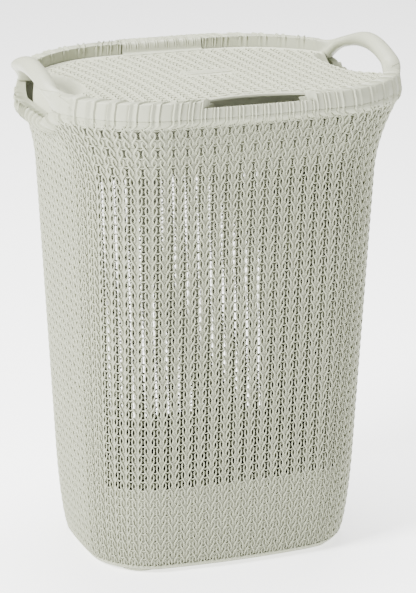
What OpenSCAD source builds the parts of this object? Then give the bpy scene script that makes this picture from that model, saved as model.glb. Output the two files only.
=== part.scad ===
// Laundry hamper with a hinged lid, knit-look plastic.
// Millimetres. +Z up, front at -Y, long axis along X, floor at Z = 0.
// The knit and the wrapped rim are surface work and are plain walls here.

/* [Tub] */
// Half width of the tub wall at the floor, before the side bow
tub_half_w = 160.1; // [150:0.1:170]
// Half depth of the tub wall at the floor, before the face bow
tub_half_d = 110.2; // [100:0.1:120]
// Corner radius of the tub at the floor
tub_corner_r = 61.5; // [50:0.5:70]
// Growth of the half width over 500 mm of height
taper_w = 20.3; // [10:0.1:30]
// Growth of the half depth over 500 mm of height
taper_d = 39.6; // [25:0.1:50]
// Growth of the corner radius over 500 mm of height
taper_r = 17; // [5:0.5:30]
// Outward bow of the front and rear faces
bow_face = 12.5; // [4:0.5:16]
// Outward bow of the two ends
bow_end = 8; // [2:0.5:12]
// Height at which the flare under the rim begins
flare_z = 464; // [430:1:500]
// Flare of the ends at the reference height
flare_w = 29.8; // [15:0.1:35]
// Flare of the front and rear at the reference height
flare_d = 13; // [5:0.1:25]
// Extra corner radius at the reference height
flare_r = 24; // [5:0.5:30]
// The same for the two rear corners
flare_rear_r = 60; // [24:0.5:64]
// Inward draw of the wall at the floor
draw_in = 9; // [4:0.5:20]
// Height over which the draw fades out
draw_h = 109; // [60:1:140]
// Wall thickness
wall_t = 2.5; // [2:0.1:4]
// Floor thickness
floor_t = 3; // [2:0.1:5]

/* [Rim] */
// Height of the seam between the tub and the rim ring
seam_z = 563; // [555:0.5:570]
// Lower edge of the rolled band on the tub, front and rear
band_z = 554; // [545:0.5:558]
// Half width at the seam, before the bow
seam_half_w = 212; // [205:0.5:218]
// Half depth at the seam, before the bow
seam_half_d = 171.5; // [165:0.5:178]
// Corner radius at the seam
seam_corner_r = 115; // [95:1:125]
// The same for the two rear corners
seam_rear_r = 150; // [115:1:155]
// Half width of the lid opening, before the bow
mouth_half_w = 192; // [185:0.5:196]
// Distance from the centre to the front edge of the lid opening, before the bow
mouth_front = 165; // [158:0.5:168]
// Distance from the centre to the rear edge of the lid opening, before the bow
mouth_rear = 137; // [130:0.5:140]
// Corner radius of the lid opening
mouth_corner_r = 112; // [95:1:120]
// Front rim top
rim_front_z = 583; // [578:0.5:586]
// Rear rim top
rim_rear_z = 586; // [582:0.5:590]

/* [Handles] */
// Top of the handle arches
handle_top_z = 608; // [600:0.5:612]
// Underside of the handle arches
handle_under_z = 585; // [580:0.5:590]
// Top of the dipped band under each handle
dip_top_z = 549; // [542:0.5:555]
// Lower edge of the dipped band
dip_band_z = 528; // [520:0.5:536]
// Half length of the hand opening
hand_half_l = 60; // [50:1:70]

/* [Lid] */
// Height of the lid edge at the rear
lid_rear_z = 572.5; // [570:0.5:576]
// Height of the lid edge at the front
lid_front_z = 581.5; // [578:0.5:583]
// Lid thickness
lid_t = 3; // [2:0.1:4]
// Gap between the lid and the rim
lid_gap = 1.2; // [0.6:0.1:2]
// Start of the hand scoops at the lid ends
scoop_x = 158; // [150:0.5:165]
// Half length of a hand scoop
scoop_half_l = 78; // [65:1:85]
// Depth of a hand scoop
scoop_drop = 29.5; // [25:0.5:36]
// Half length of the finger grip at the front
grip_half_l = 70; // [55:1:80]
// Depth of the crescent cut in the lid edge
grip_bite = 18; // [10:0.5:24]
// Height of the rim under the finger grip
grip_z = 575; // [572:0.5:579]

/* [Hinge] */
// Half length of the lid knuckle
knuckle_half_l = 52; // [45:0.5:60]
// Distance of the hinge axis behind the centre
axis_y = 166; // [164:0.5:168]
// Height of the hinge axis
axis_z = 578; // [577:0.5:579]
// Radius of the stub pins
pin_r = 4; // [3:0.1:5]
// Radial clearance of the stub pins
pin_clear = 0.06; // [0.02:0.01:0.1]
// Length of a stub pin past the knuckle
pin_l = 10.5; // [8:0.5:14]

/* [Label] */
// Label plate length
label_l = 52; // [40:1:60]
// Label plate width
label_w = 19; // [14:1:24]

/* [Feet] */
// Foot height
foot_h = 5; // [3:0.5:8]
// Foot radius
foot_r = 29; // [20:0.5:32]
// Foot position across
foot_x = 107; // [95:1:112]
// Foot position in depth
foot_y = 70; // [60:1:76]

/* [Hidden] */
$fn = 96;
eps = 0.01;
flare_ref = 95.6;
ref_h = 500;
flat_n = 8;
turn_n = 14;
quarter = 2 * flat_n + turn_n;
around = 4 * quarter;

// ---- shared outlines -------------------------------------------------------
function clamp01(v) = min(1, max(0, v));
function ease(v) = let (c = clamp01(v)) c * c * (3 - 2 * c);

// Station along a quarter outline: 0-1 along the face, 1-2 round the corner, 2-3 along the end
function station(j) = j <= flat_n ? j / flat_n
    : j <= flat_n + turn_n ? 1 + (j - flat_n) / turn_n : 2 + (j - flat_n - turn_n) / flat_n;

// Outline point i, counter-clockwise from the front centre.
// s = [half width, front depth, rear depth, front radius, rear radius, face bow, end bow]
function outline(i, s) =
    let (k = i % around, q = floor(k / quarter), j = k % quarter,
         t = station(q % 2 == 0 ? j : quarter - j),
         front = q == 0 || q == 3, sx = q < 2 ? 1 : -1, sy = front ? -1 : 1,
         a = s[0], b = front ? s[1] : s[2], r = front ? s[3] : s[4],
         g = clamp01(t - 1) * 90,
         x = t <= 1 ? (a - r) * t : t <= 2 ? a - r + r * sin(g) : a,
         y = t <= 1 ? b : t <= 2 ? b - r + r * cos(g) : (b - r) * (3 - t))
    [sx * (x + s[6] * (1 - pow(y / b, 2))), sy * (y + s[5] * (1 - pow(x / a, 2)))];

function flare(z) = pow(max(0, (z - flare_z) / flare_ref), 2);
function draw(z) = draw_in * (1 - sqrt(1 - pow(max(0, 1 - z / draw_h), 2)));
function tub_at(z, t) =
    let (h = z / ref_h, e = flare(z),
         d = tub_half_d + taper_d * h + flare_d * e - draw(z) - t,
         r = tub_corner_r + taper_r * h - 0.3 * draw(z) - t)
    [tub_half_w + taper_w * h + flare_w * e - draw(z) - t, d, d,
     r + flare_r * e, r + flare_rear_r * e, bow_face, bow_end];
function seam_at(t) = [seam_half_w - t, seam_half_d - t, seam_half_d - t,
                       seam_corner_r - t, seam_rear_r - t, bow_face, bow_end + 1];
mouth_bow = 11.5;
mouth_end_bow = 8.5;
function mouth_at(t) = [mouth_half_w - t, mouth_front - t, mouth_rear - t,
                        mouth_corner_r - t, mouth_corner_r - t, mouth_bow, mouth_end_bow];

function mix2(p, q, w) = p + (q - p) * w;

// ---- swept skins -----------------------------------------------------------
// rings[k][i]: ring 0 is the underside, rising up the outside and over
function skin_faces(rows) = [for (k = [0 : rows - 2], i = [0 : around - 1], h = [0, 1])
    let (n = (i + 1) % around, a = k * around + i, b = k * around + n)
    h == 0 ? [a, a + around, b + around] : [a, b + around, b]];
module capped_skin(rings) {
    rows = len(rings);
    polyhedron(points = [for (g = rings) for (p = g) p],
        faces = concat([[for (i = [0 : around - 1]) i]], skin_faces(rows),
                       [[for (i = [around - 1 : -1 : 0]) (rows - 1) * around + i]]));
}
module closed_skin(rings) {
    rows = len(rings);
    polyhedron(points = [for (g = rings) for (p = g) p],
        faces = concat(skin_faces(rows), [for (i = [0 : around - 1], h = [0, 1])
            let (n = (i + 1) % around, a = (rows - 1) * around + i, b = (rows - 1) * around + n)
            h == 0 ? [a, i, n] : [a, n, b]]));
}

// ---- weights round the rim -------------------------------------------------
// 1 in the middle of an end, 0 along the faces
function end_y(i) = abs(outline(i, seam_at(0))[1] + outline(i, mouth_at(0))[1]) / 2;
function hand_w(i) = ease((hand_half_l + 6 - end_y(i)) / 26);
function band_w(i) = ease((108 - end_y(i)) / 84);
function arch_w(i) = end_y(i) > 100 ? 0 : pow(cos(90 * end_y(i) / 100), 2);
// 1 along the rear, 0 along the front
function rear_w(i) = let (p = outline(i, seam_at(0))) ease((p[1] + 70) / 150);

band_top = [for (i = [0 : around - 1]) seam_z + (dip_top_z - seam_z) * hand_w(i)];
band_low = [for (i = [0 : around - 1]) band_z + (dip_band_z - band_z) * band_w(i)];

// ---- tub -------------------------------------------------------------------
wall_z = [4, 10, 20, 40, 80, 150, 230, 310, 390, 440, 464];
rise = [0.25, 0.5, 0.75, 1];
// Rolled band: fraction of its height and share of the way out to the seam outline
roll = [[0.2, 0.55], [0.55, 0.95], [0.85, 1], [1, 0.8]];
flange_in = 8.5;
inner_z = [464, 390, 230, 80, 20, 6];
function at_z(p, z) = [p[0], p[1], z];
function tub_point(i, z, t) = at_z(outline(i, tub_at(z, t)), z);
function roll_point(i, r) =
    let (z = band_low[i] + (band_top[i] - band_low[i]) * r[0],
         p = outline(i, tub_at(min(z, band_z), 0)), q = outline(i, seam_at(0)))
    at_z(mix2(p, q, r[1]), z);
function flange_point(i) = at_z(mix2(outline(i, seam_at(flange_in)),
    outline(i, mouth_at(-1.6)), band_w(i)), band_top[i]);
function under_point(i) = at_z(mix2(outline(i, seam_at(flange_in)),
    outline(i, mouth_at(-1.6)), band_w(i)), band_top[i] - 3);
function neck_point(i) = let (z = band_low[i] - 4) tub_point(i, z, wall_t);

module basket_body() {
    color([0.90, 0.90, 0.86]) translate([0, 0, foot_h])
    capped_skin(concat(
        [[for (i = [0 : around - 1]) at_z(outline(i, tub_at(0, 3)), 0)]],
        [for (z = wall_z) [for (i = [0 : around - 1]) tub_point(i, z, 0)]],
        [for (f = rise) [for (i = [0 : around - 1])
            tub_point(i, flare_z + (band_low[i] - flare_z) * f, 0)]],
        [for (r = roll) [for (i = [0 : around - 1]) roll_point(i, r)]],
        [[for (i = [0 : around - 1]) flange_point(i)],
         [for (i = [0 : around - 1]) under_point(i)],
         [for (i = [0 : around - 1]) neck_point(i)]],
        [[for (i = [0 : around - 1])
            tub_point(i, flare_z + (band_low[i] - flare_z) * 0.5, wall_t)]],
        [for (z = inner_z) [for (i = [0 : around - 1]) tub_point(i, z, wall_t)]],
        [[for (i = [0 : around - 1]) at_z(outline(i, tub_at(floor_t, wall_t + 3)), floor_t)]]));
}

// ---- lid surface -----------------------------------------------------------
lid_rear_y = 145;
lid_front_y = -177;
crown_a = 30;
crown_b = 5.9;
crown_side = 3;
function crown(y) = let (s = clamp01((lid_rear_y - y) / (lid_rear_y - lid_front_y)))
    lid_rear_z + (lid_front_z - lid_rear_z + crown_b) * s - crown_b * s * s;
scoop_far = 205;
function scoop(x, y) =
    let (q = pow((scoop_far - min(abs(x), scoop_far)) / (scoop_far - scoop_x), 2)
             + pow(abs(y) / scoop_half_l, 4))
    q >= 1 ? 0 : scoop_drop * pow(1 - q, 0.8);
function lid_z(x, y) = crown(y) - crown_side * pow(abs(x) / 190, 3) - scoop(x, y);
function lid_edge(i) =
    let (p = outline(i, mouth_at(lid_gap)), u = abs(p[0]) / grip_half_l)
    p[1] < -150 && u < 1 ? [p[0], p[1] + grip_bite * (1 - u * u)] : p;

// ---- rim ring --------------------------------------------------------------
// Section stations: outer seam, up the outside, over the top, down inside, ledge, back
ledge_w = 7;
ledge_drop = 0.7;
function face_section(i) =
    let (o = outline(i, seam_at(0)), m = outline(i, mouth_at(0)), w = norm(o - m), rw = rear_w(i),
         top = rim_front_z + (rim_rear_z - rim_front_z) * rw,
         e = outline(i, mouth_at(lid_gap)), lf = ease((end_y(i) - 103) / 18), lw = ledge_w * lf,
         back = 2.5 * lf - 1,
         led = min(crown(e[1]) - crown_side * pow(abs(e[0]) / 190, 3) - lid_t - ledge_drop, top - 3))
    [[0, seam_z], [-0.2, seam_z + 3], [1 * rw + 0.4, seam_z + 8], [1.5 + 3 * rw, seam_z + 14],
     [2 + 7 * rw, top - 3.5], [3 + w * 0.3 * rw, top - 0.8], [0.5 * w + w * 0.15 * rw, top],
     [0.8 * w, top], [w - 1, top - 0.8], [w - 0.2, top - 2.2], [w, led + 0.6], [w, led],
     [w + lw, led], [w + lw, led - 2.5], [w + back, led - 5], [w + back, seam_z]];
handle_half_w = 12.2;
function handle_section(i) =
    let (o = outline(i, seam_at(-3.5)), m = outline(i, mouth_at(-1.2)), w = norm(o - m),
         y = end_y(i), mid = w / 2,
         lift = hand_half_l > y ? sqrt(1 - pow(y / hand_half_l, 2)) : 0,
         low = seam_z + (handle_under_z - seam_z) * lift,
         top = rim_front_z + 1.5 + (handle_top_z - rim_front_z - 1.5) * arch_w(i),
         c = (low + top) / 2, h = (top - low) / 2)
    [for (k = [0 : 15]) let (g = -101.25 + 22.5 * k)
        [mid - 3.5 - w / 2 * cos(g), c + h * sin(g)]];
function ring_point(i, k) =
    let (w = ease((102 - end_y(i)) / 40),
         o = outline(i, seam_at(0)), m = outline(i, mouth_at(0)), n = (m - o) / norm(m - o),
         f = face_section(i)[k], g = handle_section(i)[k],
         d = mix2(f[0], g[0], w), z = mix2(f[1], g[1], w))
    [o[0] + n[0] * d, o[1] + n[1] * d, z];

gap_half_l = knuckle_half_l + 1;
gap_y = 178;
module rim_ring() {
    color([0.91, 0.91, 0.87]) translate([0, 0, foot_h])
    difference() {
        closed_skin([for (k = [0 : 15]) [for (i = [0 : around - 1]) ring_point(i, k)]]);
        translate([-grip_half_l, -200, grip_z]) cube([2 * grip_half_l, 48, 30]);
        translate([-gap_half_l, 110, seam_z - 5]) cube([2 * gap_half_l, gap_y - 110, 40]);
        translate([-gap_half_l - pin_l, axis_y, axis_z]) rotate([0, 90, 0])
            cylinder(h = 2 * (gap_half_l + pin_l), r = pin_r + pin_clear);
    }
}

// ---- lid -------------------------------------------------------------------
reach = [0.25, 0.5, 0.68, 0.8, 0.88, 0.94, 0.98, 1];
lid_cy = -13.5;
function lid_xy(i, f) = let (p = lid_edge(i)) [p[0] * f, lid_cy + (p[1] - lid_cy) * f];
function lid_top(i, f) = let (p = lid_xy(i, f)) [p[0], p[1], lid_z(p[0], p[1])];
function lid_low(i, f) = let (p = lid_xy(i, f)) [p[0], p[1], lid_z(p[0], p[1]) - lid_t];
module lid_panel() {
    rows = len(reach);
    pts = concat([for (f = reach) for (i = [0 : around - 1]) lid_low(i, f)],
                 [for (k = [rows - 1 : -1 : 0]) for (i = [0 : around - 1]) lid_top(i, reach[k])],
                 [[0, lid_cy, lid_z(0, lid_cy) - lid_t], [0, lid_cy, lid_z(0, lid_cy)]]);
    low_c = 2 * rows * around;
    last = (2 * rows - 1) * around;
    color([0.90, 0.90, 0.86]) translate([0, 0, foot_h])
    polyhedron(points = pts, faces = concat(skin_faces(2 * rows),
        [for (i = [0 : around - 1]) [low_c, i, (i + 1) % around]],
        [for (i = [0 : around - 1]) [low_c + 1, last + (i + 1) % around, last + i]]));
}

// Knuckle profile about the hinge axis, [depth, height]
knuckle_shape = [[-24, -8.4], [-24, -5.2], [-19.6, -4.6], [-18.2, 2], [-16.5, 6.3], [-13, 8], [-5, 8.3],
    [2, 8.3], [7, 7.6], [10, 4.6], [11.1, 0], [10, -5], [6, -9.4], [0, -11.2], [-6, -12], [-14, -11]];
module hinge_knuckle() {
    color([0.91, 0.91, 0.87]) translate([0, axis_y, axis_z + foot_h]) {
        translate([-knuckle_half_l, 0, 0]) rotate([90, 0, 90])
            linear_extrude(2 * knuckle_half_l) polygon(knuckle_shape);
        translate([-knuckle_half_l - pin_l, 0, 0]) rotate([0, 90, 0])
            cylinder(h = 2 * (knuckle_half_l + pin_l), r = pin_r);
    }
}

label_tilt = 1.5;
label_t = 1.4;
label_r = 3;
module label_plate() {
    color([0.92, 0.92, 0.88])
    translate([0, lid_cy, lid_z(0, lid_cy) + foot_h - 0.4]) rotate([-label_tilt, 0, 0])
        linear_extrude(label_t) union() {
            square([label_l - 2 * label_r, label_w], center = true);
            square([label_l, label_w - 2 * label_r], center = true);
            for (x = [-1, 1], y = [-1, 1])
                translate([x * (label_l / 2 - label_r), y * (label_w / 2 - label_r)])
                    circle(label_r);
        }
}

module foot(x, y) {
    color([0.88, 0.88, 0.84]) translate([x, y, 0])
        cylinder(h = foot_h, r1 = foot_r - 3, r2 = foot_r);
}
module foot_front_left() { foot(-foot_x, -foot_y); }
module foot_front_right() { foot(foot_x, -foot_y); }
module foot_rear_left() { foot(-foot_x, foot_y); }
module foot_rear_right() { foot(foot_x, foot_y); }

basket_body();
rim_ring();
lid_panel();
hinge_knuckle();
label_plate();
foot_front_left();
foot_front_right();
foot_rear_left();
foot_rear_right();
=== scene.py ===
import math

import bpy
import numpy as np
from mathutils import Matrix, Vector


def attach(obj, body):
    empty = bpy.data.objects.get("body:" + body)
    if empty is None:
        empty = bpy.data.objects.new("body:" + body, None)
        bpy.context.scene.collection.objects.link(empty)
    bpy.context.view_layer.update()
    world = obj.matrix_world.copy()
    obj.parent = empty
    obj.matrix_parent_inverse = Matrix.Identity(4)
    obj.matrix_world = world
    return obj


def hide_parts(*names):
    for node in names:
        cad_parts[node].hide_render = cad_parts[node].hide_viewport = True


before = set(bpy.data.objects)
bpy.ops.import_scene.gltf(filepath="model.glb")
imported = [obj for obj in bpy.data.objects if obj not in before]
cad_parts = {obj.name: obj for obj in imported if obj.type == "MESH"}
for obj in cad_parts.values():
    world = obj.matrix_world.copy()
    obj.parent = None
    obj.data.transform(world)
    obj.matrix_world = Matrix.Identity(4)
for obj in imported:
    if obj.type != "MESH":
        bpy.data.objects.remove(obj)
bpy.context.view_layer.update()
pi = math.pi

# Lengths are millimetres above the feet; every mesh is lifted by FOOT_H and scaled to metres.
FOOT_H = 5.0
WALL_T = 2.5
FLOOR_T = 3.0
REF_H = 500.0  # height over which the taper is stated
FLARE_Z = 464.0  # the flare under the rim begins here
FLARE_REF = 95.6
DRAW_IN, DRAW_H = 9.0, 109.0  # rounding of the wall into the floor
SEAM_Z = 563.0  # joint between the tub and the rim ring
BAND_Z = 554.0  # lower edge of the rolled band, front and rear
BAND_DIP_Z = 528.0  # the same under a handle
DIP_TOP_Z = 549.0  # top of the band under a handle
RIM_FRONT_Z, RIM_REAR_Z = 583.0, 586.0
HANDLE_TOP_Z = 608.0
HAND_HALF = 80.0  # half length of a hand opening
HAND_LIFT = 25.5  # height of a hand opening above the seam
GRIP_HALF, GRIP_BITE = 70.0, 18.0  # finger notch: half length, depth of the crescent in the lid
GRIP_Z, GRIP_FALL = 575.0, 8.5  # finger notch: outer edge, fall of its floor
LID_REAR_Y, LID_SPAN = 145.0, 322.0
LID_REAR_Z = 572.5
LID_T = 3.0
LID_GAP = 1.2
LID_CY = -13.5  # middle of the lid, where its blank plate sits
PLATE_HALF_L, PLATE_HALF_W, PLATE_R = 26.0, 9.5, 3.0
AXIS_Y, AXIS_Z = 166.0, 578.0
KNUCKLE_HALF, GAP_HALF, GAP_Y = 51.5, 53.4, 178.0
PIN_R, PIN_END = 4.0, 62.5
FOOT_X, FOOT_Y, FOOT_R = 107.0, 70.0, 29.0

# Knit: columns round the tub, height of a row, level of row 0, side pitch of the lid's columns
COLS = 72
ROW = 11.4
ROW_0 = 135.05
LID_PITCH = 13.9
CORD_HALF = 0.062  # half width of a cord, in column pitches
CORD_RISE, LID_CORD_RISE = 1.05, 0.95


# ---- outlines --------------------------------------------------------------
def ease(v):
    v = np.clip(v, 0, 1)
    return v * v * (3 - 2 * v)


# s = (half width, front depth, rear depth, front radius, rear radius, face bow, end bow)
def tub_s(z, t=0.0):
    z = np.asarray(z, float)
    h = z / REF_H
    e = (np.maximum(0, z - FLARE_Z) / FLARE_REF) ** 2
    dr = DRAW_IN * (1 - np.sqrt(1 - np.clip(1 - z / DRAW_H, 0, 1) ** 2))
    d = 110.2 + 39.6 * h + 13 * e - dr - t
    r = 61.5 + 17 * h - 0.3 * dr - t
    return (160.1 + 20.3 * h + 29.8 * e - dr - t, d, d, r + 24 * e, r + 60 * e, 12.5, 8.0)


def seam_s(t=0.0):
    return (212 - t, 171.5 - t, 171.5 - t, 115 - t, 150 - t, 12.5, 9.0)


def mouth_s(t=0.0):
    return (192 - t, 165 - t, 137 - t, 112 - t, 112 - t, 11.5, 8.5)


def quarter(t, a, b, r, wf, we):
    g = np.clip(t - 1, 0, 1) * pi / 2
    x = np.where(t <= 1, (a - r) * t, np.where(t <= 2, a - r + r * np.sin(g), a))
    y = np.where(t <= 1, b, np.where(t <= 2, b - r + r * np.cos(g), (b - r) * (3 - t)))
    return x + we * (1 - (y / b) ** 2), y + wf * (1 - (x / a) ** 2)


def arc_table():
    t = np.linspace(0, 3, 3001)
    a, b, _, r, _, wf, we = tub_s(265.0)
    x, y = quarter(t, a, b, r, wf, we)
    s = np.concatenate([[0], np.cumsum(np.hypot(np.diff(x), np.diff(y)))])
    return s / s[-1] * (COLS / 4), t


ARC_C, ARC_T = arc_table()


def outline(c, s):
    """Point at knit column c (0 at the front centre, rising to the right) of outline s."""
    c = np.mod(np.asarray(c, float), COLS)
    q = np.floor(c / 18).astype(int)
    f = c - 18 * q
    t = np.interp(np.where(q % 2 == 0, f, 18 - f), ARC_C, ARC_T)
    front = (q == 0) | (q == 3)
    a, bf, br, rf, rr, wf, we = s
    x, y = quarter(t, a, np.where(front, bf, br), np.where(front, rf, rr), wf, we)
    return np.where(q < 2, x, -x), np.where(front, -y, y)


def tub_p(c, z):
    z = np.clip(z, 0.02, 570)
    x, y = outline(c, tub_s(z))
    return np.stack(np.broadcast_arrays(x, y, z), -1)


def tub_frame(c, z):
    """Point, outward normal and column pitch of the outer wall."""
    dc = 0.03
    e = tub_p(c + dc, z) - tub_p(c - dc, z)
    f = tub_p(c, np.asarray(z) + 0.4) - tub_p(c, np.maximum(np.asarray(z) - 0.4, 0.03))
    n = np.cross(e, f)
    n /= np.linalg.norm(n, axis=-1, keepdims=True) + 1e-9
    return tub_p(c, z), n, np.linalg.norm(e, axis=-1) / (2 * dc)


def end_y(c):
    return np.abs(outline(c, seam_s())[1] + outline(c, mouth_s())[1]) / 2


def hand_w(c):
    return ease((HAND_HALF + 6 - end_y(c)) / 30)


def band_w(c):
    return ease((108 - end_y(c)) / 84)


def arch_w(c):
    y = end_y(c)
    return np.where(y > 100, 0, np.cos(np.minimum(y, 100) * pi / 200) ** 1.7)


def rear_w(c):
    return ease((outline(c, seam_s())[1] + 70) / 150)


def band_top(c):
    return SEAM_Z + (DIP_TOP_Z - SEAM_Z) * hand_w(c)


def band_low(c):
    return BAND_Z + (BAND_DIP_Z - BAND_Z) * band_w(c)


def wrap(c):
    """Height of the wrapped bands: two thin ridges at each web column, flat bands between."""
    u = np.mod(c, 1) - 0.5
    ridge = np.exp(-((np.abs(u) - 0.145) / 0.042) ** 4)
    edge = np.exp(-((np.abs(u) - 0.225) / 0.035) ** 2)
    mid = np.exp(-(u / 0.075) ** 4)
    return 1.7 * ridge - 0.9 * edge - 0.5 * mid


# ---- lid surface -----------------------------------------------------------
def crown(y):
    s = np.clip((LID_REAR_Y - y) / LID_SPAN, 0, 1)
    return LID_REAR_Z + 14.9 * s - 5.9 * s * s


def scoop_q(x, y):
    return ((205 - np.minimum(np.abs(x), 205)) / 47) ** 2 + (np.abs(y) / 78) ** 4


def side_fall(x):
    return 3 * (np.abs(x) / 190) ** 3


def lid_z(x, y):
    q = scoop_q(x, y)
    return crown(y) - side_fall(x) - np.where(q >= 1, 0, 29.5 * np.clip(1 - q, 0, 1) ** 0.8)


def lid_edge(c):
    x, y = outline(c, mouth_s(LID_GAP))
    u = np.abs(x) / GRIP_HALF
    return x, np.where((y < -150) & (u < 1), y + GRIP_BITE * (1 - u * u), y)


# ---- meshes ----------------------------------------------------------------
def build(name, verts, faces, material, body, angle):
    """verts: N x 3 in mm above the feet; faces: list of index arrays with 3 or 4 columns."""
    v = np.asarray(verts, np.float64).reshape(-1, 3) + (0, 0, FOOT_H)
    me = bpy.data.meshes.new(name)
    me.vertices.add(len(v))
    me.vertices.foreach_set("co", (v / 1000).astype(np.float32).ravel())
    loops = np.concatenate([np.asarray(f, np.int32).ravel() for f in faces])
    sizes = np.concatenate([np.full(len(f), np.asarray(f).shape[1], np.int32) for f in faces])
    starts = np.concatenate([[0], np.cumsum(sizes)[:-1]]).astype(np.int32)
    me.loops.add(len(loops))
    me.loops.foreach_set("vertex_index", loops)
    me.polygons.add(len(sizes))
    me.polygons.foreach_set("loop_start", starts)
    me.polygons.foreach_set("loop_total", sizes)
    me.polygons.foreach_set("use_smooth", np.full(len(sizes), True))
    me.update(calc_edges=True)
    if angle:
        me.set_sharp_from_angle(angle=math.radians(angle))
    me.materials.append(material)
    ob = bpy.data.objects.new(name, me)
    bpy.context.scene.collection.objects.link(ob)
    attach(ob, body)
    return ob


def quads(*corners):
    return np.stack(np.broadcast_arrays(*corners), -1).reshape(-1, 4)


class Heap:
    """Collects vertices and faces of many small shapes into one mesh."""

    def __init__(self):
        self.v, self.f, self.n = [], [], 0

    def add(self, verts, faces):
        verts = np.asarray(verts).reshape(-1, 3)
        self.v.append(verts)
        self.f += [np.asarray(f) + self.n for f in faces]
        self.n += len(verts)

    def grid(self, p, close_u=False, close_v=False, flip=False):
        """p: rows x columns x 3."""
        a, b = p.shape[:2]
        i = np.arange(a if close_u else a - 1)[:, None]
        j = np.arange(b if close_v else b - 1)[None, :]
        i2, j2 = (i + 1) % a, (j + 1) % b
        q = quads(i * b + j, i * b + j2, i2 * b + j2, i2 * b + j)
        self.add(p, [q[:, ::-1] if flip else q])

    def tubes(self, p, n, hw, ht, sides=6):
        """p, n: K x M x 3 centre lines and up directions; hw, ht: half width and half height, K x M."""
        k, m = p.shape[:2]
        t = np.gradient(p, axis=1)
        b = np.cross(t, n)
        b /= np.linalg.norm(b, axis=-1, keepdims=True) + 1e-9
        up = np.cross(b, t)
        up /= np.linalg.norm(up, axis=-1, keepdims=True) + 1e-9
        g = (np.arange(sides) + 0.5) * 2 * pi / sides
        ring = (p[:, :, None] + b[:, :, None] * (hw[..., None] * np.cos(g))[..., None]
                + up[:, :, None] * (ht[..., None] * np.sin(g))[..., None])
        base = np.arange(k)[:, None, None] * m * sides
        i = np.arange(m - 1)[None, :, None] * sides
        j = np.arange(sides)[None, None, :]
        j2 = (j + 1) % sides
        q = quads(base + i + j, base + i + sides + j, base + i + sides + j2, base + i + j2)
        o = np.arange(k)[:, None] * m * sides
        e = o + (m - 1) * sides
        ends = [o + (0, 1, 2, 3), o + (0, 3, 4, 5), e + (3, 2, 1, 0), e + (5, 4, 3, 0)]
        self.add(ring, [q, np.concatenate(ends)])

    def make(self, name, material, body, angle=None):
        kinds = [[f for f in self.f if f.shape[1] == k] for k in (4, 3)]
        faces = [np.concatenate(f) for f in kinds if f]
        ob = build(name, np.concatenate(self.v), faces, material, body, angle)
        return ob


# ---- materials -------------------------------------------------------------
def plastic(name, light, dark, rough, grain=260.0, fine=0.00012):
    """Satin plastic: wide tone drift, fine fleck in colour, gloss and relief."""
    m = bpy.data.materials.new(name)
    m.use_nodes = True
    nt = m.node_tree
    nt.nodes.clear()
    out = nt.nodes.new("ShaderNodeOutputMaterial")
    sh = nt.nodes.new("ShaderNodeBsdfPrincipled")
    co = nt.nodes.new("ShaderNodeTexCoord")
    wide = nt.nodes.new("ShaderNodeTexNoise")
    wide.inputs["Scale"].default_value = 9.0
    wide.inputs["Detail"].default_value = 5.0
    fleck = nt.nodes.new("ShaderNodeTexNoise")
    fleck.inputs["Scale"].default_value = grain
    fleck.inputs["Detail"].default_value = 6.0
    fleck.inputs["Roughness"].default_value = 0.6
    mix = nt.nodes.new("ShaderNodeMixRGB")
    mix.inputs["Color1"].default_value = (*dark, 1)
    mix.inputs["Color2"].default_value = (*light, 1)
    add = nt.nodes.new("ShaderNodeMath")
    add.operation = "MULTIPLY_ADD"
    add.inputs[1].default_value = 0.45
    half = nt.nodes.new("ShaderNodeMath")
    half.operation = "MULTIPLY"
    half.inputs[1].default_value = 0.65
    rr = nt.nodes.new("ShaderNodeMapRange")
    rr.inputs["To Min"].default_value = rough - 0.06
    rr.inputs["To Max"].default_value = rough + 0.08
    bump = nt.nodes.new("ShaderNodeBump")
    bump.inputs["Strength"].default_value = 0.35
    bump.inputs["Distance"].default_value = fine
    ln = nt.links.new
    ln(co.outputs["Object"], wide.inputs["Vector"])
    ln(co.outputs["Object"], fleck.inputs["Vector"])
    ln(wide.outputs["Fac"], half.inputs[0])
    ln(fleck.outputs["Fac"], add.inputs[0])
    ln(half.outputs[0], add.inputs[2])
    ln(add.outputs[0], mix.inputs["Fac"])
    ln(mix.outputs["Color"], sh.inputs["Base Color"])
    ln(fleck.outputs["Fac"], rr.inputs["Value"])
    ln(rr.outputs["Result"], sh.inputs["Roughness"])
    ln(fleck.outputs["Fac"], bump.inputs["Height"])
    ln(bump.outputs["Normal"], sh.inputs["Normal"])
    sh.inputs["IOR"].default_value = 1.49
    sh.inputs["Specular IOR Level"].default_value = 0.35
    ln(sh.outputs["BSDF"], out.inputs["Surface"])
    return m


# One cream plastic in three base tones: the tub's darker tone is painted shade on the upright walls, and the
# rim's middle tone and the lid's lighter tone are painted light on the parts facing up; light and dark within
# each material are random tone drift.
TUB_PAINTED_SHADE = plastic("tub_cream_painted_shade", (0.375, 0.388, 0.285), (0.300, 0.312, 0.222), 0.46)
RIM_PAINTED_MID_LIGHT = plastic("rim_cream_painted_mid_light", (0.41, 0.422, 0.318), (0.335, 0.346, 0.255), 0.40)
LID_PAINTED_LIGHT = plastic("lid_cream_painted_light", (0.44, 0.451, 0.343), (0.37, 0.38, 0.28), 0.44)


# ---- knitted wall ----------------------------------------------------------
ROW_LOW, ROW_HIGH = -12, 37
U_MID, U_AMP = 0.256, 0.143
BAR_HALF = 0.24


def near_u(v):
    """Distance of a cord from its column's middle, v rows from the stitch's level."""
    return U_MID - U_AMP * np.cos(pi * v)


def bar_level(u):
    return 0.5 * ROW + 2.2 * (np.abs(u) / BAR_HALF) ** 2 - 0.5


def face_offset(c):
    """Columns away from the nearer face centre."""
    d = np.mod(c, 36)
    return np.minimum(d, 36 - d)


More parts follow.
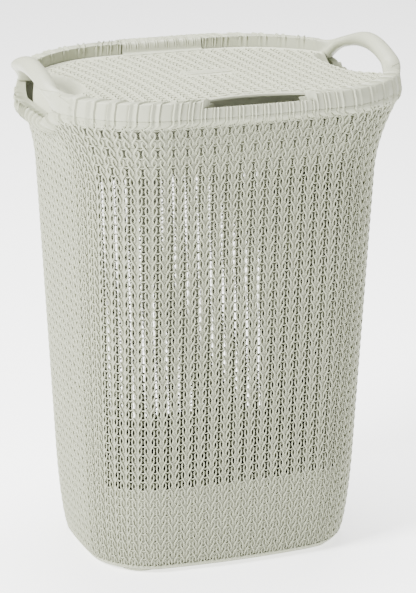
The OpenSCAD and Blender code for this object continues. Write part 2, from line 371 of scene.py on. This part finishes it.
def cell_kind(c, j):
    """0 closed, 1 slot open and eyes closed, 2 slot and eyes open."""
    rear = np.abs(np.mod(c, COLS) - 36) <= 12
    face = face_offset(c) <= np.where(rear, 8, 11)
    k = np.where(face & (j >= -2) & (j <= np.where(rear, 24, 31)), np.where(rear, 1, 2), 0)
    return np.where(face & ~rear & ((j == 32) | (j == 34) | (j == 36)), 1, k)


def cord_height(v):
    """Depth of a cord below the wall's outer face; it dives where it passes under the next."""
    return -0.35 - 0.62 * (np.abs(v + 0.5) / 0.5) ** 1.5


def tub_cords(heap, cols, rows):
    """Two slanting cords and a short bar for every stitch."""
    c0, j0 = [g.ravel().astype(float) for g in np.meshgrid(cols, rows, indexing="ij")]
    z0 = ROW_0 + ROW * j0
    keep = z0 - 0.55 * ROW < band_low(c0)
    c0, z0 = c0[keep], z0[keep]
    v = np.linspace(-1.42, 0.42, 13)
    shape = np.ones(13)
    shape[[0, -1]] = 0.6
    for s in (-1, 1):
        c = c0[:, None] + s * near_u(v)
        z = np.clip(z0[:, None] + v * ROW, 5.0, band_low(c) + 4)
        ok = (z[:, 2:-2].max(1) - z[:, 2:-2].min(1)) > 3
        c, z = c[ok], z[ok]
        p, n, pitch = tub_frame(c, z)
        p = p + n * (cord_height(v) * np.ones_like(z))[..., None]
        heap.tubes(p, n, CORD_HALF * pitch * shape, CORD_RISE * shape * np.ones_like(z))
    u = np.linspace(-BAR_HALF, BAR_HALF, 7)
    c = c0[:, None] + u
    z = z0[:, None] + bar_level(u)
    ok = (z[:, 3] < band_low(c0) + 1) & (z[:, 3] > 3)
    c, z = c[ok], z[ok]
    p, n, _ = tub_frame(c, z)
    p = p + n * (-1.25 + 0.35 * np.cos(u / BAR_HALF * pi / 2))[None, :, None]
    heap.tubes(p, n, np.full(z.shape, 0.8), np.full(z.shape, 0.75))


def web_strips(heap, cols, rows):
    """Thin sheet behind the cords of the pierced cells."""
    c0, j0 = [g.ravel() for g in np.meshgrid(cols, rows, indexing="ij")]
    kind = cell_kind(c0, j0)
    v = np.array([-0.5, -0.46, -0.44, -0.3, -0.15, 0, 0.15, 0.3, 0.44, 0.46, 0.5])
    for k in (1, 2):
        sel = kind == k
        if not sel.any():
            continue
        cc, zz = c0[sel].astype(float)[:, None], (ROW_0 + ROW * j0[sel])[:, None] + v * ROW
        if k == 1:
            slim = np.where(np.abs(np.mod(cc, COLS) - 36) <= 12, 0.7, 1.0)
            inner = np.where(np.abs(v) < 0.35, near_u(v), 0.0) * slim
        else:
            inner = U_MID + U_AMP * np.abs(np.cos(pi * v))
        for s in (-1, 1):
            mid = (inner + 0.5) / 2
            far = 0.5 + 0 * v
            rows_p = []
            for u, d in ((inner, -3.1), (inner, -2.4), (mid, -2.3), (far, -2.2), (far, -3.1)):
                p, n, _ = tub_frame(cc + s * u, zz)
                rows_p.append(p + n * d)
            g = np.stack(rows_p, 2)
            kk, m, w = g.shape[:3]
            base = np.arange(kk)[:, None, None] * m * w
            i = np.arange(m - 1)[None, :, None]
            j = np.arange(w)[None, None, :]
            j2 = (j + 1) % w
            q = quads(base + i * w + j, base + i * w + j2, base + (i + 1) * w + j2, base + (i + 1) * w + j)
            heap.add(g, [q if s > 0 else q[:, ::-1]])


def closed_sheet(heap, depth, low_z, flip):
    """Continuous sheet behind every closed cell, from low_z up."""
    cs = np.arange(0, COLS * 2 + 1) * 0.5 - 0.5
    js = np.arange(2 * ROW_LOW - 1, 2 * ROW_HIGH + 2) * 0.5
    c, j = np.meshgrid(cs, js)
    z = ROW_0 + ROW * j
    z = np.clip(z, low_z, band_low(c) + 1)
    p, n, _ = tub_frame(c, z)
    p = p + n * depth
    a, b = c.shape
    i, k = np.meshgrid(np.arange(a - 1), np.arange(b - 1), indexing="ij")
    cc = np.round(cs[k] + 0.25).astype(int)
    jj = np.round(js[i] + 0.25).astype(int)
    closed = (cell_kind(cc, jj) == 0) & (z[i + 1, k] - z[i, k] > 0.01)
    q = np.stack([i * b + k, i * b + k + 1, (i + 1) * b + k + 1, (i + 1) * b + k], -1)[closed]
    heap.add(p, [q[:, ::-1] if flip else q])


KNIT_EDGES = [-5, 5, 13, 23, 31, 41, 49, 59, 67]
KNIT_NAMES = ["knit_front", "knit_front_right", "knit_end_right", "knit_rear_right", "knit_rear",
              "knit_rear_left", "knit_end_left", "knit_front_left"]
ALL_ROWS = np.arange(ROW_LOW, ROW_HIGH + 1)
for nm, first, last in zip(KNIT_NAMES, KNIT_EDGES, KNIT_EDGES[1:]):
    h = Heap()
    tub_cords(h, np.arange(first, last), ALL_ROWS)
    h.make(nm, TUB_PAINTED_SHADE, "basket")

# ---- wall sheet, floor, rolled band ---------------------------------------
for nm, first in (("web_front", -11), ("web_rear", 25)):
    h = Heap()
    web_strips(h, np.arange(first, first + 23), ALL_ROWS)
    h.make(nm, TUB_PAINTED_SHADE, "basket", 50)
wall = Heap()
closed_sheet(wall, -2.5, 0.4, False)
closed_sheet(wall, -3.3, FLOOR_T, True)
cf = np.arange(0, COLS * 8) / 8
edge = []
for z, inset in ((0.15, 2.2), (0.5, 1.1), (1.6, 0.5), (4.6, 0.45), (5.6, 1.0), (6.0, 2.8)):
    x, y = outline(cf, tub_s(z, inset))
    edge.append(np.stack([x, y, np.full(len(cf), z)], -1))
wall.grid(np.stack(edge), close_v=True, flip=True)
cf = np.arange(0, COLS * 4) / 4
for z, inset, flip in ((0.15, 0.6, True), (FLOOR_T, WALL_T, False)):
    x, y = outline(cf, tub_s(z, inset))
    f = np.linspace(0, 1, 14)[:, None]
    wall.grid(np.stack(np.broadcast_arrays(x * f, y * f, z + 0 * f * x), -1), close_v=True, flip=not flip)
ob = wall.make("basket_wall", TUB_PAINTED_SHADE, "basket", 50)
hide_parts("basket_body")


def spline(p, k, t):
    """Closed Catmull-Rom through p (n x m x 3) at parameters t (n x s)."""
    m = p.shape[1]
    i = np.floor(t).astype(int)
    f = (t - i)[..., None]
    rows = np.arange(p.shape[0])[:, None]
    a, b, c, d = (p[rows, (i + o) % m] if k else p[rows, np.clip(i + o, 0, m - 1)] for o in (-1, 0, 1, 2))
    curve = (2 * a - 5 * b + 4 * c - d) * f ** 2 + (3 * b - 3 * c + d - a) * f ** 3
    return 0.5 * (2 * b + (c - a) * f + curve)


def grid_normals(p, close_u, close_v):
    """Unit normals of a rows x columns grid, rows running up and columns running round."""
    def diff(a, axis, closed):
        if closed:
            return np.roll(a, -1, axis) - np.roll(a, 1, axis)
        return np.gradient(a, axis=axis)
    n = np.cross(diff(p, 0, close_u), diff(p, 1, close_v))
    return n / (np.linalg.norm(n, axis=-1, keepdims=True) + 1e-9)


def stations():
    """Column stations of the rim, with close pairs at the cuts for the grip and the hinge."""
    c = np.arange(0, COLS, 1 / 18)
    fine = np.linspace(-4.6, 4.6, 4001)
    xf = outline(fine, mouth_s(-3))[0]
    xr = outline(fine + 36, mouth_s(-15))[0]
    cg = np.interp([-GRIP_HALF, GRIP_HALF], xf, fine)
    ch = np.interp([-GAP_HALF, GAP_HALF], -xr, fine)[::-1]
    extra = []
    for v in list(cg) + [36 - abs(ch[0]), 36 + abs(ch[0])]:
        extra += [v - 0.004, v + 0.004]
    return np.unique(np.mod(np.concatenate([c, extra]), COLS)), abs(cg[0]), abs(ch[0])


CS, GRIP_C, GAP_C = stations()


def band(c):
    """Rolled band of the tub under the rim."""
    low, top = band_low(c), band_top(c)
    rows = []
    for dz, inset in ((-3.0, 1.6), (-0.6, 0.9)):
        x, y = outline(c, tub_s(low + dz, inset))
        rows.append(np.stack([x, y, low + dz], -1))
    qx, qy = outline(c, seam_s())
    end = band_w(c)
    # share of the height, share of the way out to the seam, and what the ends lose of it
    for r, s, cut in ((0, 0.1, 0), (0.2, 0.55, 0), (0.55, 0.95, 0), (0.85, 1, 0.16), (0.985, 0.97, 0.5)):
        z = low + (top - low) * r
        s = s - cut * end
        x, y = outline(c, tub_s(np.minimum(z, BAND_Z)))
        rows.append(np.stack([x + (qx - x) * s, y + (qy - y) * s, z], -1))
    a, b = outline(c, seam_s(8.5)), outline(c, mouth_s(-1.6))
    w = band_w(c)
    fx, fy = a[0] + (b[0] - a[0]) * w, a[1] + (b[1] - a[1]) * w
    ox, oy = rows[-1][..., 0], rows[-1][..., 1]
    rows.append(np.stack([ox + (fx - ox) * 0.12, oy + (fy - oy) * 0.12, top], -1))
    rows.append(np.stack([fx, fy, top], -1))
    rows.append(np.stack([fx, fy, top - 3], -1))
    nx, ny = outline(c, tub_s(low - 4, WALL_T))
    rows.append(np.stack([nx, ny, low - 4], -1))
    return np.stack(rows, 1)


bp = band(CS)
t = np.concatenate([np.linspace(0, 8, 41), [9, 10]])
p = spline(bp, False, np.broadcast_to(t, (len(CS), len(t))))
lin = p.copy()
for col, tv in enumerate(t):
    if tv > 7:
        i = int(min(tv, 9))
        lin[:, col] = bp[:, i] + (bp[:, i + 1] - bp[:, i]) * (tv - i)
p = lin
n = grid_normals(p, True, False)
fade = ease((t - 0.4) / 0.8) * ease((6.9 + 0.9 * hand_w(CS)[:, None] - t) / 0.9)
p = p + n * (wrap(CS)[:, None] * (1 + 0.3 * band_w(CS))[:, None] * fade)[..., None]
h = Heap()
h.grid(p, close_u=True)
# ridge ends running down between the first stitches
cc = (np.arange(COLS)[:, None] + np.array([0.5 - 0.145, 0.5 + 0.145])).ravel()[:, None]
vv = np.linspace(0, 1, 7)
low = band_low(cc)
zz = low + 3.0 - 8.6 * vv
drift = 0.05 * np.sign(np.mod(cc, 1) - 0.5) * ease(vv)
q, qn, pitch = tub_frame(cc + drift, zz)
q = q + qn * (0.9 - 2.4 * vv ** 1.3)[None, :, None]
h.tubes(q, qn, 0.055 * pitch * (1 - 0.3 * vv), np.broadcast_to(0.9 - 0.2 * vv, zz.shape))
h.make("basket_band", TUB_PAINTED_SHADE, "basket", 60)


# ---- rim ring --------------------------------------------------------------
def ring_points(c):
    """Sixteen section points per station: seam, outside, top, inside, ledge and back."""
    ox, oy = outline(c, seam_s())
    mx, my = outline(c, mouth_s())
    w = np.hypot(mx - ox, my - oy)
    nx, ny = (mx - ox) / w, (my - oy) / w
    rw, y = rear_w(c), end_y(c)
    top = RIM_FRONT_Z + (RIM_REAR_Z - RIM_FRONT_Z) * rw
    ex, ey = outline(c, mouth_s(LID_GAP))
    lf = ease((y - 103) / 18)
    lw, back = 7 * lf, 2.5 * lf - 1
    led = np.minimum(crown(ey) - side_fall(ex) - LID_T - 0.7, top - 3)
    o = 0 * w
    face = [(o + 1.2, o + SEAM_Z + 0.2), (-0.3 + o, o + SEAM_Z + 1.2), (1 * rw + 0.2, o + SEAM_Z + 8),
            (1.5 + 3 * rw, o + SEAM_Z + 14), (2 + 7 * rw, top - 3.5), (3 + w * 0.3 * rw, top - 0.8),
            (0.5 * w + w * 0.15 * rw, top), (0.8 * w, top), (w - 1, top - 0.8), (w - 0.2, top - 2.2),
            (w, led + 0.6), (w, led), (w + lw, led), (w + lw, led - 2.5), (w + back, led - 5),
            (w + back, o + SEAM_Z)]
    ax, ay = outline(c, seam_s(-3.5))
    bx, by = outline(c, mouth_s(-1.2))
    hw = np.hypot(ax - bx, ay - by)
    lift = np.sqrt(np.clip(1 - (y / HAND_HALF) ** 2, 0, 1))
    low = SEAM_Z + HAND_LIFT * lift
    root = RIM_FRONT_Z + 1.5
    htop = root + (HANDLE_TOP_Z - root) * arch_w(c)
    g = np.radians(-101.25 + 22.5 * np.arange(16))
    k = ease((102 - y) / 40)
    pts = []
    for j in range(16):
        d = (1 - k) * face[j][0] + k * (hw / 2 - 3.5 - hw / 2 * np.cos(g[j]))
        z = (1 - k) * face[j][1] + k * ((low + htop) / 2 + (htop - low) / 2 * np.sin(g[j]))
        pts.append(np.stack([ox + nx * d, oy + ny * d, z], -1))
    return np.stack(pts, 1)


def seam_height(y):
    """Height of the moulding line that climbs along the outside of a handle."""
    return np.interp(y, [0, 40, 75, 100, 110, 118], [590, 588, 585, 581, 577, 564])


rp = ring_points(CS)
yy = end_y(CS)
# where the moulding line crosses each section; away from the handles it stays at PLAIN
PLAIN, SECTION, DG = 2.2, 16, 0.10
tt = np.linspace(0.3, 7.5, 200)
dense = spline(rp, True, np.broadcast_to(tt, (len(CS), 200)))[..., 2]
zs = seam_height(yy)
ps = np.array([np.interp(zs[i], np.maximum.accumulate(dense[i]), tt) for i in range(len(CS))])
ps = np.where(yy > 119, PLAIN, ps)
blend = ease((119 - yy) / 6)
ps = PLAIN * (1 - blend) + ps * blend
below = np.linspace(0, 1, 9)[:-1]
above = np.linspace(0, 1, 40)[:-1]
lo, hi = (ps - DG)[:, None], (ps + DG)[:, None]
tgrid = np.concatenate([below * lo, lo, ps[:, None], hi + above * (SECTION - hi)], 1)
p = spline(rp, True, tgrid)
# the inside, the ledge and the back keep straight edges, except on the handles
linear = (tgrid > 9.6) & (tgrid < 15.99)
i0 = np.floor(tgrid).astype(int)
fr = (tgrid - i0)[..., None]
rows = np.arange(len(CS))[:, None]
flat = rp[rows, i0 % SECTION] * (1 - fr) + rp[rows, (i0 + 1) % SECTION] * fr
handle = ease((102 - yy) / 40)[:, None]
p = np.where((linear & (handle < 0.5))[..., None], flat, p)
n = grid_normals(p, True, True)
outside = ease((tgrid - 0.1) / 0.9) * ease((10.0 - tgrid) / 1.2)
depth = (wrap(CS) * ease((yy - 92) / 14))[:, None] * outside
p = p + n * depth[..., None]
p[:, 9] -= 0.75 * n[:, 9] * blend[:, None]
grip = (CS < GRIP_C) | (CS > COLS - GRIP_C)
gap = np.abs(CS - 36) < GAP_C
for i in np.nonzero(grip)[0]:
    # finger notch: the outer wrap ends low and the floor falls away inward
    row = p[i]
    a = np.nonzero(row[:, 2] > GRIP_Z)[0][0]
    b = np.nonzero(row[:, 2] > GRIP_Z - GRIP_FALL)[0][-1]
    f = np.linspace(0, 1, b - a + 2)[1:, None]
    hi, lo = row[a - 1].copy(), row[b].copy()
    row[a:b + 1] = hi + (lo - hi) * f
    row[a:b + 1, 2] = GRIP_Z - GRIP_FALL * ease((f[:, 0] - 0.2) / 0.2)
    row[a - 1, 2] = GRIP_Z - 0.8
for i in np.nonzero(gap)[0]:
    # only a rear strip is left beside the hinge
    row = p[i]
    k = np.nonzero(row[:, 1] < GAP_Y)[0]
    k = k[k > 4]
    cut = row[k[0] - 1, 2]
    row[k, 2] = np.minimum(row[k, 2], cut)
    row[:, 1] = np.maximum(row[:, 1], GAP_Y)
h = Heap()
h.grid(p, close_u=True, close_v=True)
ob = h.make("rim_wrapped", RIM_PAINTED_MID_LIGHT, "basket", 55)
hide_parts("rim_ring")

# ---- hinge knuckle ---------------------------------------------------------
# section about the hinge axis: depth, height
prof = np.array([[-24, -8.4], [-24, -5.2], [-19.6, -4.6], [-18.2, 2], [-16.5, 6.3], [-13, 8],
                 [-5, 8.3], [2, 8.3], [7, 7.6], [10, 4.6], [11.1, 0], [10, -5], [6, -9.4],
                 [0, -11.2], [-6, -12], [-14, -11]])
ALONG, ROUND, PIN_SIDES = 124, 64, 24
fine = np.linspace(31, 41, 4001)
xs = outline(fine, mouth_s(-15))[0]
x = np.linspace(-KNUCKLE_HALF, KNUCKLE_HALF, ALONG)
kc = np.interp(x, xs[::-1], fine[::-1])
base = np.zeros((ALONG, len(prof), 3))
base[..., 0] = x[:, None]
base[..., 1:] = prof + (AXIS_Y, AXIS_Z)
t = np.linspace(0, len(prof), ROUND + 1)[:-1]
p = spline(base, True, np.broadcast_to(t, (ALONG, ROUND)))
n = -grid_normals(p, False, True)
over = ease((t - 2.3) / 0.9) * ease((11.5 - t) / 0.9)
depth = (wrap(kc) * ease((KNUCKLE_HALF - np.abs(x)) / 1.5))[:, None] * over
p = p + n * depth[..., None]
h = Heap()
h.grid(p, close_v=True, flip=True)
j = np.arange(ROUND)
tri = np.stack([j, (j + 1) % ROUND, np.full(ROUND, ROUND)], -1)
for cap, last in ((p[0], False), (p[-1], True)):
    h.add(np.concatenate([cap, cap.mean(0, keepdims=True)]), [tri if last else tri[:, ::-1]])
g = np.arange(PIN_SIDES) * 2 * pi / PIN_SIDES
for s in (-1, 1):
    rows_p = []
    for xx, r in ((KNUCKLE_HALF - 0.5, PIN_R), (PIN_END - 1, PIN_R), (PIN_END, 3.2), (PIN_END, 0.01)):
        y, z = AXIS_Y + r * np.cos(g), AXIS_Z + r * np.sin(g)
        rows_p.append(np.stack([np.full(PIN_SIDES, s * xx), y, z], -1))
    h.grid(np.stack(rows_p), close_v=True, flip=s > 0)
ob = h.make("hinge_wrapped", RIM_PAINTED_MID_LIGHT, "lid", 50)
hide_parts("hinge_knuckle")

# ---- lid -------------------------------------------------------------------
def knit_mask(x, y, f):
    """1 where the lid is knitted, 0 on its smooth border, lip, scoops and label."""
    m = ease((0.985 - f) / 0.012)
    m = m * ease((scoop_q(x, y) - 1.02) / 0.06)
    inside = np.maximum(np.abs(x) / (PLATE_HALF_L + 3.5), np.abs(y - LID_CY) / (PLATE_HALF_W + 3))
    m = m * ease((inside - 0.98) / 0.06)
    a, b, _, _, _, bow, _ = mouth_s(LID_GAP)
    bite = -(b + bow * (1 - (x / a) ** 2)) + GRIP_BITE * (1 - (x / GRIP_HALF) ** 2)
    return m * np.where((np.abs(x) < GRIP_HALF) & (y < -120), ease((y - bite - 4.5) / 1.5), 1)


cl = np.arange(0, COLS * 10) / 10
ex, ey = lid_edge(cl)
# shares of the way to the lid's edge, closer together near it
fs = np.concatenate([np.linspace(0.01, 0.9, 70), np.linspace(0.905, 0.97, 10),
                     [0.975, 0.98, 0.985, 0.99, 0.994, 0.998, 1.0]])
X = ex[None] * fs[:, None]
Y = LID_CY + (ey[None] - LID_CY) * fs[:, None]
Z = lid_z(X, Y) - 1.55 * knit_mask(X, Y, fs[:, None] * np.ones_like(X))
Z = Z - np.clip((fs[:, None] - 0.994) / 0.006, 0, 1) ** 2
top = np.stack([X, Y, Z], -1)
low = top[[*range(len(top) - 1, 0, -4), 0]].copy()
low[..., 2] = lid_z(low[..., 0], low[..., 1]) - LID_T
skin = np.concatenate([top, low[:1], low])
h = Heap()
h.grid(skin, close_v=True, flip=True)
ob = h.make("lid_shell", LID_PAINTED_LIGHT, "lid", 45)
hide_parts("lid_panel")


def lid_x(c, y):
    """Lid columns spread a little toward the front and the rear."""
    return c * LID_PITCH * (1 + 0.09 * ((y + 40) / 170) ** 2)


def lid_frame(c, y):
    """Point, normal and column pitch of the lid's top."""
    def pt(cc, yv):
        xv = lid_x(cc, yv)
        return np.stack(np.broadcast_arrays(xv, yv, lid_z(xv, yv)), -1)
    e = pt(c + 0.02, y) - pt(c - 0.02, y)
    f = pt(c, y + 0.3) - pt(c, y - 0.3)
    n = np.cross(e, f)
    n /= np.linalg.norm(n, axis=-1, keepdims=True)
    return pt(c, y), n, np.linalg.norm(e, axis=-1) / 0.04


lx, ly = lid_edge(np.arange(0, COLS * 20) / 20)
ang = np.unwrap(np.arctan2(ly - LID_CY, lx))
rad = np.hypot(lx, ly - LID_CY)


def lid_f(x, y):
    """Share of the way from the lid's middle to its edge."""
    a = np.arctan2(y - LID_CY, x)
    a = np.where(a < ang[0], a + 2 * pi, a)
    return np.hypot(x, y - LID_CY) / np.interp(a, ang, rad)


def lid_knit(heap, cols, rows):
    """The same stitches as on the wall, only where the lid is knitted."""
    c0, j0 = [g.ravel().astype(float) for g in np.meshgrid(cols, rows, indexing="ij")]
    y0 = ROW * j0 - 4.0
    v = np.linspace(-1.42, 0.42, 11)
    shape = np.ones(11)
    shape[[0, -1]] = 0.6
    for s in (-1, 1):
        c = c0[:, None] + s * near_u(v)
        y = y0[:, None] + v * ROW
        x = lid_x(c, y)
        f = lid_f(x, y)
        m = knit_mask(x, y, f)
        lip = (np.abs(x) < 72) & (y < -135)
        ok = (m[:, 2:-2].mean(1) > 0.35) & (f.max(1) < 1.0) & ~(lip & (m < 0.5)).any(1)
        c, y, m = c[ok], y[ok], m[ok]
        p, n, pitch = lid_frame(c, y)
        p = p + n * ((cord_height(v) - 0.25) * np.ones_like(y) - 1.4 * (1 - m))[..., None]
        heap.tubes(p, n, CORD_HALF * pitch * shape, LID_CORD_RISE * shape * np.ones_like(y))
    u = np.linspace(-BAR_HALF, BAR_HALF, 5)
    c = c0[:, None] + u
    y = y0[:, None] + bar_level(u)
    x = lid_x(c, y)
    m = knit_mask(x, y, lid_f(x, y))
    ok = m.min(1) > 0.5
    c, y = c[ok], y[ok]
    p, n, _ = lid_frame(c, y)
    p = p - n * 1.05
    heap.tubes(p, n, np.full(y.shape, 0.75), np.full(y.shape, 0.7))


for nm, cols in (("lid_knit_left", np.arange(-15, 0)), ("lid_knit_right", np.arange(0, 16))):
    h = Heap()
    lid_knit(h, cols, np.arange(-16, 15))
    h.make(nm, LID_PAINTED_LIGHT, "lid")

# ---- label plate -----------------------------------------------------------
g = np.radians(np.arange(0, 91, 10))
out = []
for sx, sy, turn in ((1, 1, 0), (-1, 1, 90), (-1, -1, 180), (1, -1, 270)):
    a = g + math.radians(turn)
    out.append(np.stack([sx * (PLATE_HALF_L - PLATE_R) + PLATE_R * np.cos(a),
                         sy * (PLATE_HALF_W - PLATE_R) + PLATE_R * np.sin(a)], -1))
out = np.concatenate(out)
rings = []
# inset from the outline, height over the lid: a raised rim with a sunk middle
for inset, lift in ((0, -1.4), (0, 0.75), (0.25, 1.05), (0.8, 1.2), (1.8, 1.2), (2.3, 1.0), (6, 1), (9.3, 1)):
    xy = out * (1 - inset / PLATE_HALF_L, 1 - inset / PLATE_HALF_W)
    yv = xy[:, 1] + LID_CY
    rings.append(np.stack([xy[:, 0], yv, lid_z(xy[:, 0], yv) + lift], -1))
h = Heap()
h.grid(np.stack(rings), close_v=True)
cap = rings[-1]
count = len(cap)
j = np.arange(count)
tri = np.stack([j, (j + 1) % count, np.full(count, count)], -1)
h.add(np.concatenate([cap, cap.mean(0, keepdims=True)]), [tri])
ob = h.make("label_blank", LID_PAINTED_LIGHT, "lid", 40)
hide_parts("label_plate")

# ---- feet ------------------------------------------------------------------
g = np.arange(64) * 2 * pi / 64
for nm, sx, sy in (("foot_front_left", -1, -1), ("foot_front_right", 1, -1),
                   ("foot_rear_left", -1, 1), ("foot_rear_right", 1, 1)):
    rows_p = []
    for r, z in ((0.01, -5), (22, -5), (25.2, -5), (26, -4.6), (FOOT_R - 0.3, -0.3), (FOOT_R, 0.3)):
        x, y = sx * FOOT_X + r * np.cos(g), sy * FOOT_Y + r * np.sin(g)
        rows_p.append(np.stack([x, y, np.full(64, float(z))], -1))
    h = Heap()
    h.grid(np.stack(rows_p), close_v=True)
    ob = h.make("pad_" + nm, TUB_PAINTED_SHADE, "basket", 40)
    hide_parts(nm)


# ---- studio ----------------------------------------------------------------
def stage_material():
    m = bpy.data.materials.new("pale_floor")
    m.use_nodes = True
    nt = m.node_tree
    sh = nt.nodes["Principled BSDF"]
    noise = nt.nodes.new("ShaderNodeTexNoise")
    noise.inputs["Scale"].default_value = 3.0
    ramp = nt.nodes.new("ShaderNodeMixRGB")
    ramp.inputs["Color1"].default_value = (0.93, 0.93, 0.925, 1)
    ramp.inputs["Color2"].default_value = (0.96, 0.96, 0.955, 1)
    nt.links.new(noise.outputs["Fac"], ramp.inputs["Fac"])
    nt.links.new(ramp.outputs["Color"], sh.inputs["Base Color"])
    sh.inputs["Roughness"].default_value = 0.9
    sh.inputs["Specular IOR Level"].default_value = 0.1
    sh.inputs["Emission Color"].default_value = (1.0, 1.0, 1.0, 1)
    sh.inputs["Emission Strength"].default_value = 1.9
    return m


me = bpy.data.meshes.new("floor")
me.from_pydata([(-30, -30, 0), (30, -30, 0), (30, 30, 0), (-30, 30, 0)], [], [(0, 1, 2, 3)])
me.materials.append(stage_material())
floor = bpy.data.objects.new("floor", me)
bpy.context.scene.collection.objects.link(floor)

world = bpy.data.worlds.new("studio")
world.use_nodes = True
world.node_tree.nodes["Background"].inputs["Color"].default_value = (1.0, 1.0, 0.99, 1)
world.node_tree.nodes["Background"].inputs["Strength"].default_value = 0.22
bpy.context.scene.world = world


def area(name, at, aim, size, power, color=(1, 1, 1)):
    lamp = bpy.data.lights.new(name, "AREA")
    lamp.shape = "SQUARE"
    lamp.size = size
    lamp.energy = power
    lamp.color = color
    ob = bpy.data.objects.new(name, lamp)
    ob.location = at
    ob.rotation_euler = (Vector(aim) - Vector(at)).to_track_quat("-Z", "Y").to_euler()
    bpy.context.scene.collection.objects.link(ob)
    return ob


area("key", (-3.0, -1.0, 2.6), (0, 0, 0.35), 1.2, 470)
area("fill", (2.6, -2.0, 1.8), (0, 0, 0.3), 2.2, 12)
area("top", (0.2, 0.4, 3.4), (0, 0, 0.4), 1.4, 250)

cam_data = bpy.data.cameras.new("camera")
cam_data.sensor_width = 36.0
cam_data.lens = 164.49736
cam_data.shift_x = 0.00740135
cam_data.shift_y = -0.00100337
cam_data.clip_start = 0.05
cam_data.clip_end = 100
cam = bpy.data.objects.new("camera", cam_data)
az, el = math.radians(-20.31), math.radians(16.596)
back = Vector((math.sin(az) * math.cos(el), -math.cos(az) * math.cos(el), math.sin(el)))
right = Vector((math.cos(az), math.sin(az), 0))
up = back.cross(right)
rot = Matrix((right, up, back)).transposed().to_4x4()
cam.matrix_world = Matrix.Translation(Vector((0, 0, 0.305)) + back * 3.276453) @ rot
bpy.context.scene.collection.objects.link(cam)
bpy.context.scene.camera = cam
